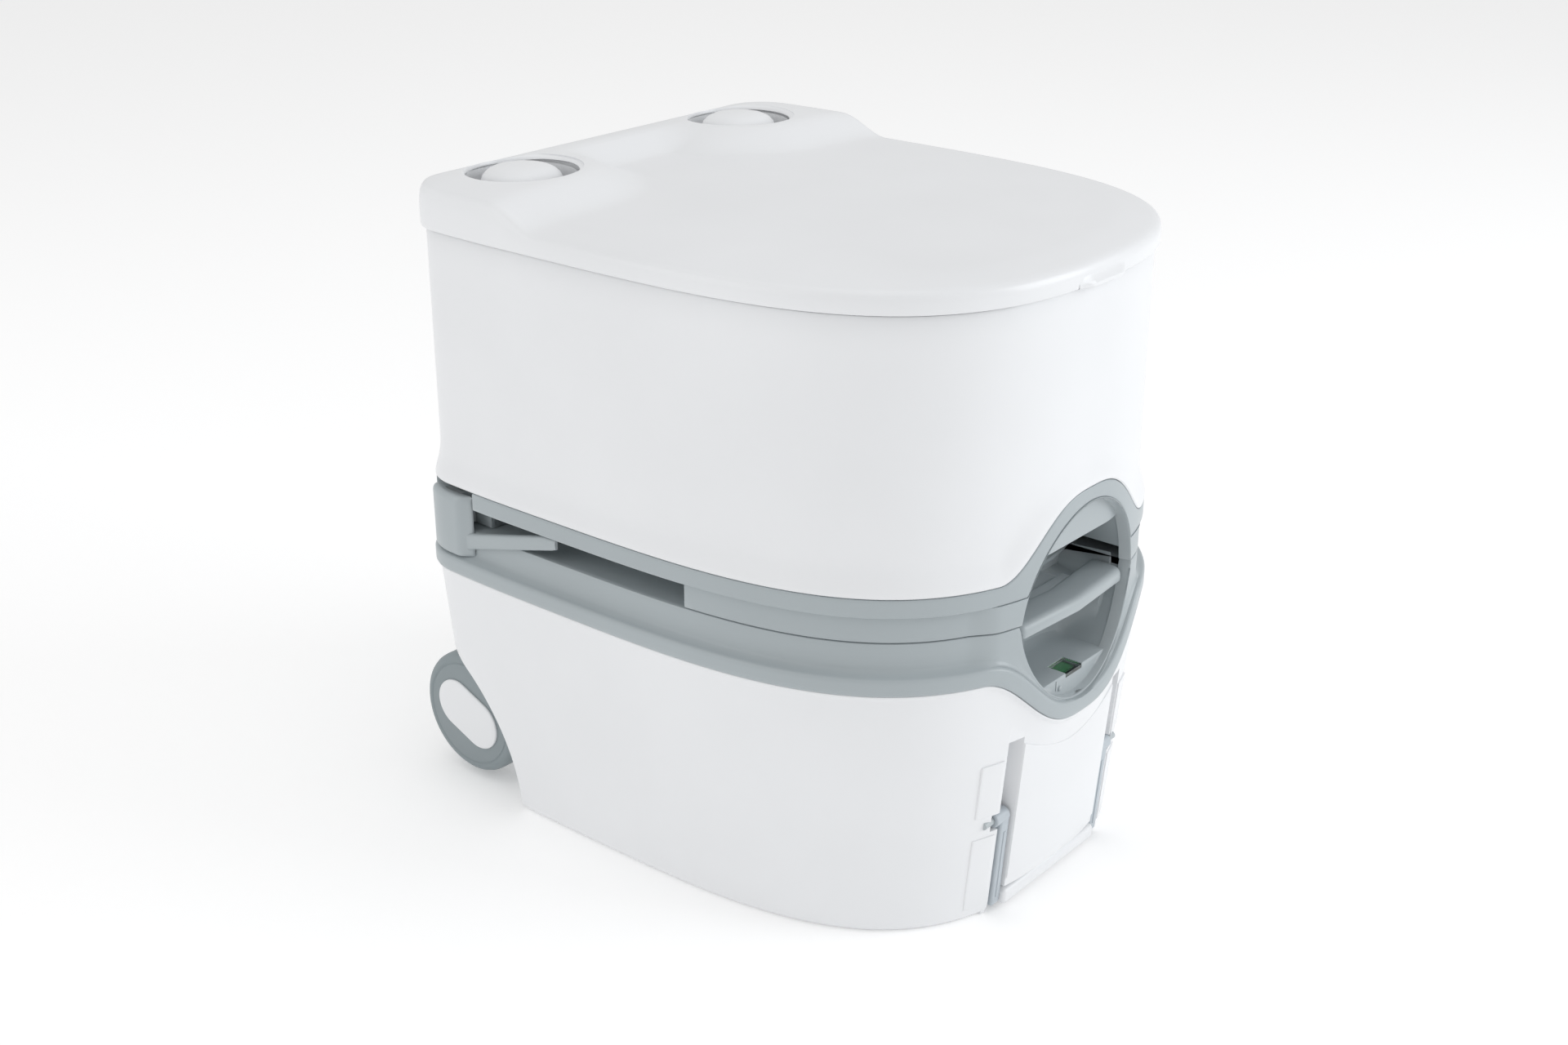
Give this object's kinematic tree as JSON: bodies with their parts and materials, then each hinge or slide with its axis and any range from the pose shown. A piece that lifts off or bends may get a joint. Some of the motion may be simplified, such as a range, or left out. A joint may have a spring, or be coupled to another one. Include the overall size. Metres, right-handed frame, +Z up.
{
  "type": "cassette toilet",
  "caption": "Wheeled portable cassette toilet: flush-water unit with bowl, seat and lid, latched on a waste tank with a slide valve, spout and pull handle.",
  "frame": {"origin": "centre of the whole object's bounding box in X and Y, at the underside of the base", "axes": "+Z up, front with the round hand opening faces -Y, the hinge and wheels are at +Y, X = 0 is the symmetry plane of the casings"},
  "size_m": [0.3653, 0.4512, 0.437],
  "materials": {
    "white_plastic": "satin",
    "grey_plastic": "satin",
    "wheel_grey": "matte",
    "seal_rubber": "matte",
    "steel": "brushed",
    "spring_steel": "gloss",
    "clear_window": "gloss",
    "green_flag": "satin",
    "natural_plastic": "satin"
  },
  "bodies": {
    "waste_unit": {"waste_tank_shell": "white_plastic", "tank_collar": "grey_plastic", "valve_frame": "grey_plastic", "valve_seal": "seal_rubber", "level_window": "clear_window", "float_bracket": "grey_plastic", "vent_housing": "white_plastic", "vent_spring": "spring_steel", "spout_base": "grey_plastic", "axle": "steel", "axle_bracket_left": "white_plastic", "axle_bracket_right": "white_plastic", "latch_pin_left": "steel", "latch_pin_right": "steel", "handle_pins": "grey_plastic"},
    "valve": {"valve_blade": "grey_plastic", "valve_handle": "grey_plastic"},
    "level_gauge": {"level_float": "green_flag"},
    "vent": {"vent_button": "grey_plastic", "vent_seal": "seal_rubber"},
    "spout": {"pour_spout": "grey_plastic", "spout_gasket": "seal_rubber"},
    "spout_closure": {"spout_cap": "grey_plastic"},
    "left_wheel": {"wheel_left": "wheel_grey", "hub_cap_left": "white_plastic"},
    "right_wheel": {"wheel_right": "wheel_grey", "hub_cap_right": "white_plastic"},
    "left_latch": {"latch_left": "grey_plastic"},
    "right_latch": {"latch_right": "grey_plastic"},
    "pull_handle": {"handle_arms": "grey_plastic", "handle_grip": "white_plastic"},
    "upper_unit": {"upper_tank_shell": "white_plastic", "upper_base": "grey_plastic", "bowl": "white_plastic", "deck_plate": "white_plastic", "rim_nozzle": "white_plastic", "outlet_seal": "seal_rubber", "pump_cylinder": "natural_plastic", "pump_spring": "spring_steel", "suction_tube": "natural_plastic", "flush_hose": "natural_plastic", "filler_neck": "white_plastic", "filler_gasket": "seal_rubber", "hinge_pins": "white_plastic"},
    "pump": {"pump_knob": "white_plastic", "pump_rod": "natural_plastic", "piston_seal": "seal_rubber"},
    "filler": {"filler_cap": "white_plastic"},
    "seat_ring": {"seat": "white_plastic", "seat_bumpers": "seal_rubber"},
    "lid_cover": {"lid": "white_plastic", "lid_bumpers": "seal_rubber"}
  },
  "joints": [
    {"name": "upper_unit_lift", "type": "slide", "parent": "waste_unit", "child": "upper_unit", "axis": [0, 0, 1], "range_m": [0, 0.12]},
    {"name": "seat_hinge", "type": "hinge", "parent": "upper_unit", "child": "seat_ring", "pos_m": [0, 0.1944, 0.412], "axis": [-1, 0, 0], "range_deg": [0, 85]},
    {"name": "lid_hinge", "type": "hinge", "parent": "seat_ring", "child": "lid_cover", "pos_m": [0, 0.1944, 0.412], "axis": [-1, 0, 0], "range_deg": [0, 95]},
    {"name": "pump_press", "type": "slide", "parent": "upper_unit", "child": "pump", "axis": [0, 0, -1], "range_m": [0, 0.016], "stiffness_N_per_m": 400, "springref_m": -0.006, "deforming": ["pump_spring"]},
    {"name": "filler_cap_turn", "type": "hinge", "parent": "upper_unit", "child": "filler", "pos_m": [0.106, 0.15, 0.41], "axis": [0, 0, 1], "range_deg": [0, 120]},
    {"name": "valve_slide", "type": "slide", "parent": "waste_unit", "child": "valve", "axis": [0, -1, 0], "range_m": [0, 0.095]},
    {"name": "level_float_tilt", "type": "hinge", "parent": "waste_unit", "child": "level_gauge", "pos_m": [0, -0.18, 0.144], "axis": [1, 0, 0], "range_deg": [0, 10]},
    {"name": "vent_press", "type": "slide", "parent": "waste_unit", "child": "vent", "axis": [0, -1, 0], "range_m": [0, 0.005], "stiffness_N_per_m": 300, "springref_m": -0.004},
    {"name": "spout_swing", "type": "hinge", "parent": "waste_unit", "child": "spout", "pos_m": [0.062, 0.2065, 0.138], "axis": [0, -1, 0], "range_deg": [0, 90]},
    {"name": "spout_cap_turn", "type": "hinge", "parent": "spout", "child": "spout_closure", "pos_m": [-0.015, 0.2065, 0.138], "axis": [-1, 0, 0], "range_deg": [0, 180]},
    {"name": "left_wheel_spin", "type": "hinge", "parent": "waste_unit", "child": "left_wheel", "pos_m": [-0.143, 0.1806, 0.05], "axis": [1, 0, 0], "continuous": true},
    {"name": "right_wheel_spin", "type": "hinge", "parent": "waste_unit", "child": "right_wheel", "pos_m": [0.143, 0.1806, 0.05], "axis": [1, 0, 0], "continuous": true},
    {"name": "left_latch_swing", "type": "hinge", "parent": "waste_unit", "child": "left_latch", "pos_m": [-0.1702, 0.1737, 0.21], "axis": [0, 0, -1], "range_deg": [0, 30]},
    {"name": "right_latch_swing", "type": "hinge", "parent": "waste_unit", "child": "right_latch", "pos_m": [0.1702, 0.1737, 0.21], "axis": [0, 0, 1], "range_deg": [0, 30]},
    {"name": "pull_handle_swing", "type": "hinge", "parent": "waste_unit", "child": "pull_handle", "pos_m": [0, -0.204, 0.071], "axis": [-1, 0, 0], "range_deg": [0, 120]}
  ]
}
